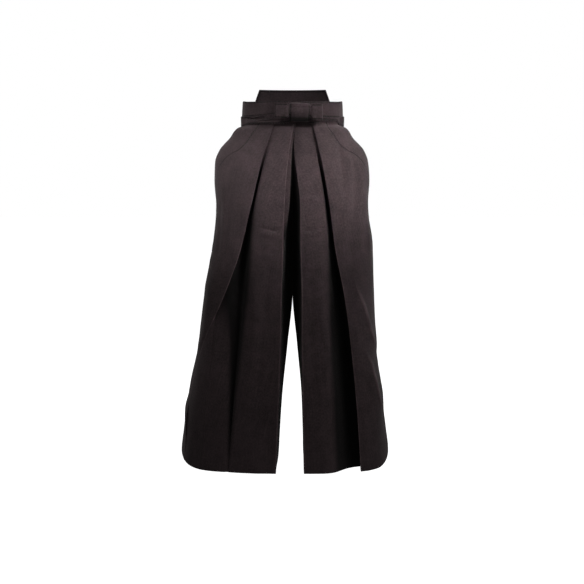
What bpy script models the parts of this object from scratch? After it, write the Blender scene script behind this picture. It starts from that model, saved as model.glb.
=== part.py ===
"""Pleated hakama trousers in their worn form: a divided, five-pleat hakama held up at the waist by its ties.

The frame's origin is the middle of the wearer's waist at the height of the tied bow. +Z is up, the front
faces -Y, and the wearer's right leg is on the -X side. Every size in the tables is in millimetres.

Each leg has a front and a back panel. A panel is a sheet drawn through plan sections: its outer faces run on
a ring round the body that widens towards the hem, and its folds are lines that run down the cloth, each set
by how far it lies from the centre front ("out") and how deep it lies behind that ring ("deep").
"""

import math
from collections import namedtuple

import bpy
import numpy as np

MM = 0.001
CLOTH = 1.2  # wall of a single layer of cloth
LAYER = 2.2  # from one layer of a closed pleat to the next
SEAM_GAP = 0.3  # between two pieces that are sewn together
RIGHT, LEFT = -1, 1  # the wearer's sides, as signs of X
FRONT, BACK = -1, 1  # signs of Y

# The ring that the outer faces follow, at named heights: its reach to each side, to the front and to the
# back, and how square it is (2 is an ellipse). It is straight behind the waist ties, and flares below them.
Ring = namedtuple("Ring", "name z right left front back square")
RINGS = (
    Ring("waist", -20, 129.5, 129.5, 98, 98, 2.0),
    Ring("tie edge", -38, 129.5, 129.5, 98, 98, 2.0),
    Ring("below the ties", -42, 151, 148, 98.5, 99.5, 2.0),
    Ring("yoke", -74, 178, 172, 103, 106, 2.05),
    Ring("high hip", -107, 205, 200, 109, 116, 2.15),
    Ring("hip", -140, 216, 211, 115, 127, 2.3),
    Ring("low hip", -190, 217, 214, 123, 137, 2.5),
    Ring("slit end", -258, 213, 210, 130, 146, 2.8),
    Ring("thigh", -376, 224, 224, 141, 150, 3.1),
    Ring("crotch", -495, 244, 228, 151, 153, 3.3),
    Ring("knee", -650, 263, 235, 166, 160, 3.2),
    Ring("shin", -800, 293, 252, 181, 172, 3.0),
    Ring("hem", -965, 315, 272, 197, 186, 2.9),
)

# The heights at which the fold lines below are given, from the waist to the hem.
STATION_Z = (-20, -100, -258, -376, -495, -650, -800, -965)

# The lines that a panel runs through, from its side edge inward. A crease is pressed sharp, and lies half
# way between the two layers that it joins; a soft line only bends the cloth. Both rows of numbers follow
# STATION_Z, and samples is how many points lie between a line and the one before it.
Fold = namedtuple("Fold", "name kind out deep samples")
CREASE, SOFT = "crease", "soft"

RIGHT_FRONT = (
    Fold("outer pleat edge", CREASE, (46, 74, 113, 141, 184, 251, 287, 300), (1.1, 1.1, 1, 1, 1, 1, 3, 5), 8),
    Fold("outer underlay", CREASE, (84, 112, 146, 168, 203, 219, 237, 248), (3.3, 3.4, 12, 26, 14, 6, 4, 2), 1),
    Fold("brink", SOFT, (64, 92, 130, 151, 172, 178, 183, 192), (4.4, 5.9, 24, 37, 27, 10, 7, 4), 2),
    Fold("valley", SOFT, (50, 69, 107, 129, 140, 153, 165, 177), (4.5, 9.5, 34, 44, 46, 33, 24, 8), 2),
    Fold("centre face", SOFT, (28, 58, 95, 102, 111, 126, 146, 160), (4.5, 4.8, 5, 6, 6, 6, 6, 4), 2),
    Fold("centre pleat edge", CREASE, (-6, 9, 22.5, 26, 30, 33, 39.5, 46), (5.5, 5.5, 2, 1, 1, 1, 1, 1), 2),
    Fold("centre underlay", CREASE, (40, 48, 38, 28, 29, 32, 39, 47), (7.7, 7.7, 8, 11, 14, 18, 19, 20), 1),
    Fold("third pleat edge", CREASE, (-9, 1.4, 9, 22, 25, 29, 37, 46), (9.9, 9.9, 12, 23, 30, 37, 41, 45), 1),
    Fold("third underlay", CREASE, (36, 40, 30, 20, 20, 26, 35, 45), (12.2, 12.2, 19, 37, 51, 60, 68, 76), 1),
    Fold("inner wall", SOFT, (18, 20, 14, 9, 9, 20, 32, 41), (13.6, 13.6, 32, 60, 90, 118, 125, 138), 2),
)
LEFT_FRONT = (
    Fold("outer pleat edge", CREASE, (50, 72, 101, 116.5, 140, 161, 176, 187), (1.1, 1.1, 1, 1, 1, 1, 1, 1), 8),
    Fold("outer underlay", CREASE, (88, 111, 134, 146, 156, 172, 186, 195), (3.3, 3.4, 20, 36, 54, 60, 56, 46), 2),
    Fold("valley", SOFT, (58, 67, 96, 112, 125, 142, 150, 152), (4.8, 10, 36, 48, 60, 66, 62, 46), 3),
    Fold("centre face", SOFT, (34, 54, 84, 90, 90, 96, 104, 106), (8.5, 7.5, 4, 5, 6, 7, 7, 5), 2),
    Fold("centre pleat edge", CREASE, (1.4, 4.5, 21, 22.5, 25, 26, 29, 32), (16, 12.5, 2, 1, 1, 1, 1, 1), 2),
    Fold("centre underlay", CREASE, (45, 44, 38, 24, 25, 25, 29, 32), (18.2, 15, 10, 16, 22, 28, 30, 32), 1),
    Fold("inner wall", SOFT, (20, 20, 16, 10, 9, 19, 28, 31.5), (19.3, 16.5, 34, 60, 90, 118, 125, 138), 3),
)
RIGHT_BACK = (
    Fold("back flute", SOFT, (80, 100, 130, 148, 165, 182, 196, 208), (0, 1, 3, 7, 12, 18, 22, 26), 6),
    Fold("back pleat edge", CREASE, (4, 6, 13, 20, 30, 40, 50, 62), (1.1, 1.1, 1, 1, 1, 1, 1, 1), 4),
    Fold("back underlay", CREASE, (44, 46, 34, 21, 28, 38, 49, 61), (3.5, 4.4, 8, 18, 24, 26, 28, 30), 1),
    Fold("inner wall", SOFT, (22, 22, 14, 9, 9, 20, 34, 47), (4.8, 6.2, 22, 54, 86, 108, 112, 118), 2),
)
LEFT_BACK = (
    Fold("back flute", SOFT, (80, 100, 130, 146, 158, 166, 176, 184), (0, 1, 3, 7, 12, 18, 22, 26), 6),
    Fold("back pleat edge", CREASE, (4, 6, 13, 20, 28, 34, 42, 50), (1.1, 1.1, 1, 1, 1, 1, 1, 1), 4),
    Fold("back underlay", CREASE, (44, 46, 34, 21, 26, 32, 41, 49), (3.5, 4.4, 8, 18, 24, 26, 28, 30), 1),
    Fold("inner wall", SOFT, (22, 22, 14, 9, 9, 18, 29, 38), (4.8, 6.2, 22, 54, 86, 108, 112, 118), 2),
)

# The panels' inner edges: the centre seams down to the crotch, then the inside-leg seams. How far they lie
# out from the centre on each leg, and how deep behind the ring, at STATION_Z. They never pass INSIDE_LEG_Y.
SEAM_OUT = {RIGHT: (0.3, 0.3, 0.5, 0.9, 1.6, 14, 29.5, 40), LEFT: (0.3, 0.3, 0.5, 0.9, 1.6, 13, 26, 31)}
SEAM_DEEP = {FRONT: (20.5, 18, 46, 84, 126, 165.2, 200, 240), BACK: (6.6, 7.5, 34, 80, 128, 159.2, 200, 240)}
INSIDE_LEG_Y = 0.8
SEAM_SAMPLES = 3

# Where the panels' side edges lie on the ring, in degrees from straight ahead or from straight behind.
# They are free from the waist to the end of the slit, and sewn together below it.
SLIT_Z = (-20, -38, -107, -190, -258)
EDGE_DEGREES = {FRONT: (74, 75, 80, 86, 90), BACK: (62, 64, 74, 84, 90)}

# Soft ridges and troughs that cross a front panel's outer face: from one point to another, as (out, z).
Crossing = namedtuple("Crossing", "leg start end width height")
CROSSINGS = (
    Crossing(LEFT, (158, -440), (231, -660), 16, 6),
    Crossing(LEFT, (178, -620), (254, -840), 18, 6),
    Crossing(LEFT, (165, -150), (172, -420), 26, -5),
    Crossing(RIGHT, (170, -230), (190, -430), 26, -5),
    Crossing(RIGHT, (304, -820), (262, -965), 16, 5),
)

# The rows of the panels, closer together where the hips widen and where the right outer pleat runs out.
ROW_Z = (
    *(-22, -38, -42, -58, -76, -96, -120, -146, -180, -220, -258),
    *(-316, -376, -436, -495, -540, -580, -620, -670, -730, -800, -880, -965),
)
WAIST_TILT = 6  # the waist is this much lower in front than at the sides, and higher behind
TILT_Z = (-60, -150)  # the tilt fades out between these heights
HEM_DROP_FRONT = 14  # the hem hangs lower in front than at the sides
HEM_DROP_BACK = 4
HEM_RISE = 22  # and rises a little at the outer side seams
DROP_Z = (-500, -965)  # over which that comes in

# The gusset that joins the four inside-leg edges: the crotch, and its lowest point on each leg.
CROTCH_Z = -495
GUSSET_POINT_Z = -620
GUSSET_COLUMNS = 4

# The ties. Each one is a strap that runs round the waist: how far it lies outside the ring in front and at
# the back, its thickness and width, the height of its middle in front, at the sides and at the back, and how
# far it stands out below the back tie at the sides, where it is drawn narrower.
Strap = namedtuple("Strap", "name front_off back_off thick width front_z side_z back_z side_bulge")
WAISTBAND = Strap("front_waistband", 2.2, -11.5, 2.4, 26, -31, -28.4, -4, 7)
SECOND_TURN = Strap("front_tie_turn", 4.9, -8.2, 2.0, 24, -15, -28.2, -2, 8)
BACK_TIE = Strap("back_tie", 7.4, 2.0, 2.0, 43, 3.5, 5, 3, 0)
STRAP_STEPS = 72
STRAP_TURN = (0, 70, 100, 180)  # degrees from the front, at which those heights hold
CROSS_FROM, CROSS_TO = 86, 113  # degrees from the front over which a strap changes its distance
SIDE_NARROWING = 0.22

# The stiff board at the small of the back.
BOARD_LOW, BOARD_HIGH = -22, 62
BOARD_HALF_LOW, BOARD_HALF_HIGH = 62, 44  # half its width at the foot and at the top, in degrees
BOARD_OFF = 6.2
BOARD_THICK = 4.0
BOARD_STEPS = 14
BOARD_ROWS = 4
TIE_END = 52  # the back ties start under the board, this many degrees from straight behind

# The bow in front, made of the ends of the back ties: two flat folds, one in the other, and a turn of the
# tie that wraps them and the tie behind.
BOW_CLOTH = 2.4
BOW_GAP = 0.5  # between the bow's layers
BOW_CENTRE = 17  # to the wearer's left of the centre
BOW_RIGHT, BOW_LEFT = -41, 69
BOW_HEIGHT = 39
BOW_Z = -1.5
BOW_DROOP = 4  # how much lower its left end hangs
BOW_STAND = 5  # how far its ends stand off the waist
BOW_HALF_DEPTH = 6.2
BOW_FOLD_INSET = 3.0  # the inner fold lies this far inside the outer one
WRAP_WIDTH = 48
WRAP_HALF_HEIGHT = 25.5
WRAP_Z = -4.5
WRAP_COLUMNS = 5
WRAP_HALF_DEPTH = BOW_HALF_DEPTH + BOW_CLOTH + BOW_GAP
BOW_OFF = BACK_TIE.front_off + BACK_TIE.thick / 2 + BOW_GAP + BOW_CLOTH / 2 + WRAP_HALF_DEPTH
BOW_ROUND = 0.8  # how round its folds' ends are: 1 would be a half circle
WRAP_ROUND = 0.4
LOOP_TURNS = 3  # steps in each rounded corner of a folded tie
LOOP_STEPS = 8  # and along each of its flat sides

COTTON = (0.035, 0.029, 0.030, 1.0)
TIE_COTTON = (0.040, 0.034, 0.036, 1.0)


def clear_scene():
    for thing in list(bpy.data.objects):
        bpy.data.objects.remove(thing)


def smooth_through(xs, ys, x):
    """A smooth curve through the points (xs, ys), with no overshoot, read at x."""
    xs, ys = np.asarray(xs, float), np.asarray(ys, float)
    if xs[0] > xs[-1]:
        xs, ys = xs[::-1], ys[::-1]
    x = min(max(x, xs[0]), xs[-1])
    step = np.diff(xs)
    slope = np.diff(ys) / step
    tangent = np.zeros(len(xs))
    tangent[0], tangent[-1] = slope[0], slope[-1]
    for i in range(1, len(xs) - 1):
        before, after = slope[i - 1], slope[i]
        if before * after > 0:
            w1, w2 = 2 * step[i] + step[i - 1], step[i] + 2 * step[i - 1]
            tangent[i] = (w1 + w2) / (w1 / before + w2 / after)
    i = int(min(np.searchsorted(xs, x, side="right") - 1, len(step) - 1))
    t = (x - xs[i]) / step[i]
    start = (1 + 2 * t) * (1 - t) ** 2 * ys[i] + t * (1 - t) ** 2 * step[i] * tangent[i]
    end = t * t * (3 - 2 * t) * ys[i + 1] + t * t * (t - 1) * step[i] * tangent[i + 1]
    return start + end


def eased(t):
    t = min(max(t, 0.0), 1.0)
    return t * t * (3 - 2 * t)


def ring_size(column, z):
    return smooth_through([r.z for r in RINGS], [getattr(r, column) for r in RINGS], z)


def ring_point(z, degrees, leg, face, off=0.0):
    """A point on the ring at a height, that many degrees from straight ahead (FRONT) or behind (BACK)."""
    reach = ring_size("right" if leg == RIGHT else "left", z)
    depth = ring_size("front" if face == FRONT else "back", z)
    power = 2 / ring_size("square", z)
    sine, cosine = math.sin(math.radians(degrees)), math.cos(math.radians(degrees))
    x = leg * reach * math.copysign(abs(sine) ** power, sine)
    y = face * depth * max(cosine, 0.0) ** power
    normal = np.array([x / reach**2, y / depth**2])
    length = np.hypot(*normal)
    return np.array([x, y]) + normal / length * off


def degrees_at(z, out, leg):
    """The angle on the ring of a point that lies a distance out from the centre."""
    reach = ring_size("right" if leg == RIGHT else "left", z)
    share = min(abs(out) / reach, 1.0) ** (ring_size("square", z) / 2)
    return math.copysign(math.degrees(math.asin(share)), out)


def crossing_height(leg, out, z):
    """How far the soft ridges and troughs move an outer face out, at one point."""
    total = 0.0
    for c in CROSSINGS:
        if c.leg != leg:
            continue
        start, end, point = np.array(c.start, float), np.array(c.end, float), np.array([out, z])
        along = end - start
        share = float(np.dot(point - start, along) / np.dot(along, along))
        away = np.linalg.norm(point - start - min(max(share, 0), 1) * along)
        fade = eased((share + 0.15) / 0.4) * eased((1.15 - share) / 0.4)
        total += c.height * fade * math.exp(-((away / c.width) ** 2))
    return total


def from_ring(out, deep, z, leg, face):
    """The plan point that lies a distance out from the centre, and straight in from the ring by its depth."""
    x, y = ring_point(z, degrees_at(z, out, leg), leg, face)
    return np.array([x, y - face * deep])


def fold_at(fold, z):
    """Where a fold line is at a height, as (out, deep)."""
    return np.array([smooth_through(STATION_Z, fold.out, z), smooth_through(STATION_Z, fold.deep, z)])


def seam_at(z, leg, face):
    """Where a panel's inner edge is at a height, as (out, deep)."""
    out = smooth_through(STATION_Z, SEAM_OUT[leg], z)
    deep = smooth_through(STATION_Z, SEAM_DEEP[face], z)
    deepest = abs(from_ring(out, 0, z, leg, face)[1]) - INSIDE_LEG_Y
    return np.array([out, min(deep, deepest)])


def side_degrees(z, face):
    """Where the panel's side edge lies on the ring at a height."""
    if z < SLIT_Z[-1]:
        return 90.0
    return smooth_through(SLIT_Z, EDGE_DEGREES[face], z)


def crease_ends(before, tip, after):
    """The two layers at a fold's edge, as (out, deep): half a layer either side of its tip."""
    into, away = tip - before, after - tip
    into, away = into / np.linalg.norm(into), away / np.linalg.norm(away)
    point = (into - away) / 2
    sharpness = np.linalg.norm(point)
    across = np.array([-point[1], point[0]]) / sharpness
    if np.dot(before - after, across) < 0:
        across = -across
    behind = tip - point * 0.3 * LAYER
    return behind + across * LAYER / 2, behind - across * LAYER / 2


def outer_face(z, leg, face, first):
    """Plan points along the ring from the side edge to just before the first fold line."""
    end = fold_at(first, z)
    end_degrees = degrees_at(z, end[0], leg)
    end_deep = end[1] - (LAYER / 2 if first.kind == CREASE else 0)
    start_degrees = side_degrees(z, face)
    angles = np.linspace(start_degrees, end_degrees, 60)
    line = np.array([ring_point(z, d, leg, face) for d in angles])
    along = np.concatenate([[0], np.cumsum(np.linalg.norm(np.diff(line, axis=0), axis=1))])
    made = []
    for share in np.linspace(0, 1, first.samples + 2)[:-1]:
        degrees = np.interp(share * along[-1], along, angles)
        x, y = ring_point(z, degrees, leg, face)
        if face == FRONT:
            x, y = ring_point(z, degrees, leg, face, crossing_height(leg, leg * x, z))
        made.append(np.array([x, y - face * end_deep * eased(share)]))
    if start_degrees == 90:
        made[0][1] = face * SEAM_GAP / 2
    return made


def curve_through(points, counts):
    """A smooth curve through the points, with counts[i] more between each pair, and without the first."""
    padded = [2 * points[0] - points[1], *points, 2 * points[-1] - points[-2]]
    made = []
    for i, count in enumerate(counts):
        before, a, b, after = padded[i : i + 4]
        for k in range(1, count + 2):
            t = k / (count + 1)
            leave, arrive = t * (1 - t) ** 2 / 2, t * t * (t - 1) / 2
            made.append(a + (b - a) * eased(t) + (b - before) * leave + (after - a) * arrive)
    return made


def panel_section(z, leg, face, folds):
    """One plan section of a panel, from its side edge to its inner seam, as a list of points."""
    outer = outer_face(z, leg, face, folds[0])
    last_degrees = degrees_at(z, abs(outer[-1][0]), leg)
    last = np.array([leg * outer[-1][0], abs(ring_point(z, last_degrees, leg, face)[1]) - abs(outer[-1][1])])
    tips = [fold_at(f, z) for f in folds] + [seam_at(z, leg, face)]
    inner, run, counts = [], [last], []
    for i, fold in enumerate(folds):
        counts.append(fold.samples if i else 0)
        if fold.kind == SOFT:
            run.append(tips[i])
            continue
        start, end = crease_ends(run[-1], tips[i], tips[i + 1])
        inner += curve_through([*run, start], counts) + [end]
        run, counts = [end], []
    inner += curve_through([*run, tips[-1]], [*counts, SEAM_SAMPLES])
    return outer + [from_ring(out, deep, z, leg, face) for out, deep in inner]


def hang(x, y, z):
    """The height of a point of a panel: its row's, with the waist's tilt and the hem's drop."""
    tilt = WAIST_TILT * y / RINGS[0].front * (1 - eased((TILT_Z[0] - z) / (TILT_Z[0] - TILT_Z[1])))
    front = eased(-y / 150) * HEM_DROP_FRONT
    back = eased(y / 150) * HEM_DROP_BACK
    side = (1 - eased(abs(y) / 150)) * HEM_RISE * eased((abs(x) - 120) / 60)
    return z + tilt - (front + back - side) * eased((DROP_Z[0] - z) / (DROP_Z[0] - DROP_Z[1]))


def panel_grid(leg, face, folds):
    """The mid-surface of a panel, as rows of points from the waist to the hem, in millimetres."""
    return np.array([[(x, y, hang(x, y, z)) for x, y in panel_section(z, leg, face, folds)] for z in ROW_Z])


def surface_normals(grid, closed):
    """Unit normals of a grid of points. A closed grid's last column meets its first."""
    if closed:
        across = np.roll(grid, -1, axis=1) - np.roll(grid, 1, axis=1)
    else:
        across = np.gradient(grid, axis=1)
    down = np.gradient(grid, axis=0)
    normal = np.cross(across, down)
    return normal / np.maximum(np.linalg.norm(normal, axis=2, keepdims=True), 1e-9)


def material(name, colour, roughness):
    found = bpy.data.materials.get(name)
    if found:
        return found
    made = bpy.data.materials.new(name)
    made.use_nodes = True
    shader = made.node_tree.nodes["Principled BSDF"]
    shader.inputs["Base Color"].default_value = colour
    shader.inputs["Roughness"].default_value = roughness
    shader.inputs["Metallic"].default_value = 0.0
    return made


def wall(name, grid, thickness, closed=False, colour=COTTON):
    """A closed solid: a sheet of that thickness about a grid of points given in millimetres."""
    normal = surface_normals(grid, closed)
    outer, inner = grid + normal * thickness / 2, grid - normal * thickness / 2
    rows, columns = grid.shape[:2]
    points = np.concatenate([outer.reshape(-1, 3), inner.reshape(-1, 3)]) * MM
    shift = rows * columns

    def at(row, column, side):
        return side * shift + row * columns + column % columns

    faces = []
    spans = columns if closed else columns - 1
    for row in range(rows - 1):
        for column in range(spans):
            a, b = (row, column), (row, column + 1)
            c, d = (row + 1, column + 1), (row + 1, column)
            faces.append([at(*p, 0) for p in (a, b, c, d)])
            faces.append([at(*p, 1) for p in (d, c, b, a)])
    for column in range(spans):
        for row, order in ((0, 1), (rows - 1, -1)):
            rim = [at(row, column, 1), at(row, column + 1, 1), at(row, column + 1, 0), at(row, column, 0)]
            faces.append(rim[::order])
    if not closed:
        for row in range(rows - 1):
            for column, order in ((0, -1), (columns - 1, 1)):
                rim = [at(row, column, 1), at(row + 1, column, 1), at(row + 1, column, 0), at(row, column, 0)]
                faces.append(rim[::order])
    mesh = bpy.data.meshes.new(name)
    mesh.from_pydata(points.tolist(), [], faces)
    mesh.update()
    if signed_volume(points, faces) < 0:
        mesh.flip_normals()
    mesh.shade_smooth()
    mesh.set_sharp_from_angle(angle=math.radians(40))
    made = bpy.data.objects.new(name, mesh)
    made.data.materials.append(material(name + "_cloth", colour, 0.85))
    bpy.context.scene.collection.objects.link(made)
    return made


def signed_volume(points, faces):
    total = 0.0
    for face in faces:
        for k in range(1, len(face) - 1):
            total += np.dot(points[face[0]], np.cross(points[face[k]], points[face[k + 1]]))
    return total / 6


def build_panels():
    for name, leg, face, folds in (
        ("front_panel_right", RIGHT, FRONT, RIGHT_FRONT),
        ("front_panel_left", LEFT, FRONT, LEFT_FRONT),
        ("back_panel_right", RIGHT, BACK, RIGHT_BACK),
        ("back_panel_left", LEFT, BACK, LEFT_BACK),
    ):
        wall(name, panel_grid(leg, face, folds), CLOTH)


def seam_y(z, leg, face):
    return from_ring(*seam_at(z, leg, face), z, leg, face)[1]


def gusset_row(x, z, leg, level):
    """A row of the gusset, from the front seams to the back seams, as wide as they are apart at a level."""
    front, back = seam_y(level, leg, FRONT) + SEAM_GAP, seam_y(level, leg, BACK) - SEAM_GAP
    return [(x, y, z) for y in np.linspace(front, back, GUSSET_COLUMNS)]


def build_gusset():
    """A narrow diamond of cloth folded over the crotch, between the front and back inside-leg edges."""
    levels = [z for z in ROW_Z[::-1] if GUSSET_POINT_Z <= z < CROTCH_Z] + [CROTCH_Z - 3]
    rows = [gusset_row(RIGHT * seam_at(z, RIGHT, FRONT)[0], z, RIGHT, z) for z in levels]
    rows.append(gusset_row(0, CROTCH_Z - 0.5, RIGHT, CROTCH_Z))
    rows += [gusset_row(LEFT * seam_at(z, LEFT, FRONT)[0], z, LEFT, z) for z in levels[::-1]]
    wall("gusset", np.array(rows), CLOTH)


def strap_line(strap, degrees):
    """A strap's distance outside the ring, the height of its middle and its width, that far from the front."""
    round_it = abs(degrees)
    change = eased((round_it - CROSS_FROM) / (CROSS_TO - CROSS_FROM))
    stand = eased((round_it - 72) / 14) * eased((112 - round_it) / 24)
    narrow = eased((round_it - 50) / 22) * eased((128 - round_it) / 22)
    off = strap.front_off + (strap.back_off - strap.front_off) * change + strap.side_bulge * stand
    z = smooth_through(STRAP_TURN, (strap.front_z, strap.side_z, strap.side_z, strap.back_z), round_it)
    width = strap.width * (1 - SIDE_NARROWING * narrow) if strap.side_bulge else strap.width
    return off, z, width


def waist_point(degrees, z, off):
    """A point off the waist's own ring: 0 degrees is straight ahead, 90 the wearer's left."""
    leg = LEFT if degrees >= 0 else RIGHT
    face = FRONT if abs(degrees) <= 90 else BACK
    from_face = abs(degrees) if face == FRONT else 180 - abs(degrees)
    x, y = ring_point(RINGS[0].z, from_face, leg, face, off)
    return (x, y, z)


def strap_grid(strap, angles):
    rows = []
    for share in (0.5, -0.5):
        lines = [(degrees, *strap_line(strap, degrees)) for degrees in angles]
        rows.append([waist_point(degrees, z + share * width, off) for degrees, off, z, width in lines])
    return np.array(rows)


def build_ties():
    all_round = np.linspace(-180, 180, STRAP_STEPS, endpoint=False)
    for strap in (WAISTBAND, SECOND_TURN):
        wall(strap.name, strap_grid(strap, all_round), strap.thick, closed=True, colour=TIE_COTTON)
    meet = math.degrees(math.asin(BOW_CENTRE / RINGS[0].left))
    half_gap = math.degrees(SEAM_GAP / 2 / RINGS[0].front)
    end = 180 - TIE_END
    for side, angles in (
        ("right", np.linspace(-end, meet - half_gap, STRAP_STEPS // 2)),
        ("left", np.linspace(meet + half_gap, end, STRAP_STEPS // 2)),
    ):
        wall(f"{BACK_TIE.name}_{side}", strap_grid(BACK_TIE, angles), BACK_TIE.thick, colour=TIE_COTTON)


def build_back_board():
    """The stiffened board, wider at its foot, that the back panels and the back ties are sewn to."""
    rows = []
    for share in np.linspace(1, 0, BOARD_ROWS):
        z = BOARD_LOW + (BOARD_HIGH - BOARD_LOW) * share
        half = BOARD_HALF_LOW + (BOARD_HALF_HIGH - BOARD_HALF_LOW) * share
        rows.append([waist_point(180 - a, z, BOARD_OFF) for a in np.linspace(-half, half, BOARD_STEPS)])
    wall("back_board", np.array(rows), BOARD_THICK, colour=TIE_COTTON)


def bow_point(along, off, z):
    """A point of the bow: along is measured sideways from the centre front, off outward from the ring."""
    degrees = math.degrees(math.asin(along / RINGS[0].left))
    stand = BOW_STAND * ((along - BOW_CENTRE) / (BOW_LEFT - BOW_CENTRE)) ** 2
    return waist_point(degrees, z, off + stand)


def flat_loop(half_long, half_deep, roundness):
    """The outline of a flattened loop about the origin, as (along, across) pairs."""
    made = []
    radius = half_deep * roundness
    for end in (1, -1):
        for side in (-1, 1):
            for k in range(LOOP_TURNS + 1):
                turn = math.radians(90 * k / LOOP_TURNS)
                ahead, aside = math.sin(turn), math.cos(turn)
                if side > 0:
                    ahead, aside = aside, ahead
                along = half_long - radius + radius * ahead
                made.append((end * along, end * side * (half_deep - radius + radius * aside)))
        for k in range(1, LOOP_STEPS):
            made.append((end * (half_long - radius) * (1 - 2 * k / LOOP_STEPS), end * half_deep))
    return made


def build_bow():
    middle, half = (BOW_LEFT + BOW_RIGHT) / 2, (BOW_LEFT - BOW_RIGHT) / 2
    for name, inset in (("bow_outer_fold", 0.0), ("bow_inner_fold", BOW_FOLD_INSET)):
        rows = []
        for share in (0.5, -0.5):
            row = []
            for along, across in flat_loop(half - 1.6 * inset, BOW_HALF_DEPTH - inset, BOW_ROUND):
                x = middle + along
                z = BOW_Z - BOW_DROOP * (x - BOW_RIGHT) / (BOW_LEFT - BOW_RIGHT)
                row.append(bow_point(x, BOW_OFF + across, z + share * (BOW_HEIGHT - inset)))
            rows.append(row)
        wall(name, np.array(rows), BOW_CLOTH, closed=True, colour=TIE_COTTON)
    outline = flat_loop(WRAP_HALF_HEIGHT, WRAP_HALF_DEPTH, WRAP_ROUND)
    rows = []
    for x in np.linspace(BOW_CENTRE - WRAP_WIDTH / 2, BOW_CENTRE + WRAP_WIDTH / 2, WRAP_COLUMNS):
        rows.append([bow_point(x, BOW_OFF + across, WRAP_Z + up) for up, across in outline])
    wall("bow_wrap", np.array(rows), BOW_CLOTH, closed=True, colour=TIE_COTTON)


def main():
    clear_scene()
    build_panels()
    build_gusset()
    build_ties()
    build_back_board()
    build_bow()


main()
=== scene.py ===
import math
from collections import namedtuple

import bpy
import numpy as np
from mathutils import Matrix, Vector


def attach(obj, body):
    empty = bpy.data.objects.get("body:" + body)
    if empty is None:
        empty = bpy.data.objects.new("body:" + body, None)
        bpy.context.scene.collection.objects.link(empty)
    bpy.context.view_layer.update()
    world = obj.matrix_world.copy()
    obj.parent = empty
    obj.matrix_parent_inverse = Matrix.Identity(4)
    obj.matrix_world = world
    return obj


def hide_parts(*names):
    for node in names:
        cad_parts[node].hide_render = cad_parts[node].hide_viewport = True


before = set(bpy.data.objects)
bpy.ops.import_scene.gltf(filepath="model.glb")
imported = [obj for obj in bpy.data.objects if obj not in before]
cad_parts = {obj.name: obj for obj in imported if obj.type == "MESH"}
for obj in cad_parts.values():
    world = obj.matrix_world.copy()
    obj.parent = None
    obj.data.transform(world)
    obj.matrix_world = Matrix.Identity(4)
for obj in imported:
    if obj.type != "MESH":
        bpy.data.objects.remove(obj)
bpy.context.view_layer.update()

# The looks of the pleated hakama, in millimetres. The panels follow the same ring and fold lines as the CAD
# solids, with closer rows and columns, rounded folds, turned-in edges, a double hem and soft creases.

MM = 0.001
RIGHT, LEFT = -1, 1
FRONT, BACK = -1, 1

# ---- the ring and the fold lines, as in the CAD

LAYER = 2.2  # from the middle of one layer of a pressed fold to the next
Ring = namedtuple("Ring", "name z right left front back square")
RINGS = (
    Ring("waist", -20, 129.5, 129.5, 98, 98, 2.0),
    Ring("tie edge", -38, 129.5, 129.5, 98, 98, 2.0),
    Ring("below the ties", -42, 151, 148, 98.5, 99.5, 2.0),
    Ring("yoke", -74, 178, 172, 103, 106, 2.05),
    Ring("high hip", -107, 205, 200, 109, 116, 2.15),
    Ring("hip", -140, 216, 211, 115, 127, 2.3),
    Ring("low hip", -190, 217, 214, 123, 137, 2.5),
    Ring("slit end", -258, 213, 210, 130, 146, 2.8),
    Ring("thigh", -376, 224, 224, 141, 150, 3.1),
    Ring("crotch", -495, 244, 228, 151, 153, 3.3),
    Ring("knee", -650, 263, 235, 166, 160, 3.2),
    Ring("shin", -800, 293, 252, 181, 172, 3.0),
    Ring("hem", -965, 315, 272, 197, 186, 2.9),
)
# The heights at which each fold line's place is given: how far out, and how deep under the ring.
STATION_Z = (-20, -100, -258, -376, -495, -650, -800, -965)

Fold = namedtuple("Fold", "name kind out deep")
HARD, SOFT = "pressed", "soft"
OUTER, CENTRE, SEAT = "outer pleat edge", "centre pleat edge", "back pleat edge"
RIGHT_FRONT = (
    Fold(OUTER, HARD, (46, 74, 113, 141, 184, 251, 287, 300), (1.1, 1.1, 1, 1, 1, 1, 3, 5)),
    Fold("outer underlay", HARD, (84, 112, 146, 168, 203, 219, 237, 248), (3.3, 3.4, 12, 26, 14, 6, 4, 2)),
    Fold("brink", SOFT, (64, 92, 130, 151, 172, 178, 183, 192), (4.4, 5.9, 24, 37, 27, 10, 7, 4)),
    Fold("valley", SOFT, (50, 69, 107, 129, 140, 153, 165, 177), (4.5, 9.5, 34, 44, 46, 33, 24, 8)),
    Fold("centre face", SOFT, (28, 58, 95, 102, 111, 126, 146, 160), (4.5, 4.8, 5, 6, 6, 6, 6, 4)),
    Fold(CENTRE, HARD, (-6, 9, 22.5, 26, 30, 33, 39.5, 46), (5.5, 5.5, 2, 1, 1, 1, 1, 1)),
    Fold("centre underlay", HARD, (40, 48, 38, 28, 29, 32, 39, 47), (7.7, 7.7, 8, 11, 14, 18, 19, 20)),
    Fold("third pleat edge", HARD, (-9, 1.4, 9, 25.5, 29.5, 32, 38, 46), (9.9, 9.9, 12, 23, 30, 37, 41, 45)),
    Fold("third underlay", HARD, (36, 40, 30, 25, 29, 31, 37, 45), (12.2, 12.2, 19, 37, 51, 60, 68, 76)),
    Fold("inner wall", SOFT, (18, 20, 15, 17, 19, 25, 33, 41), (13.6, 13.6, 34, 62, 90, 118, 125, 138)),
)
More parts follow.
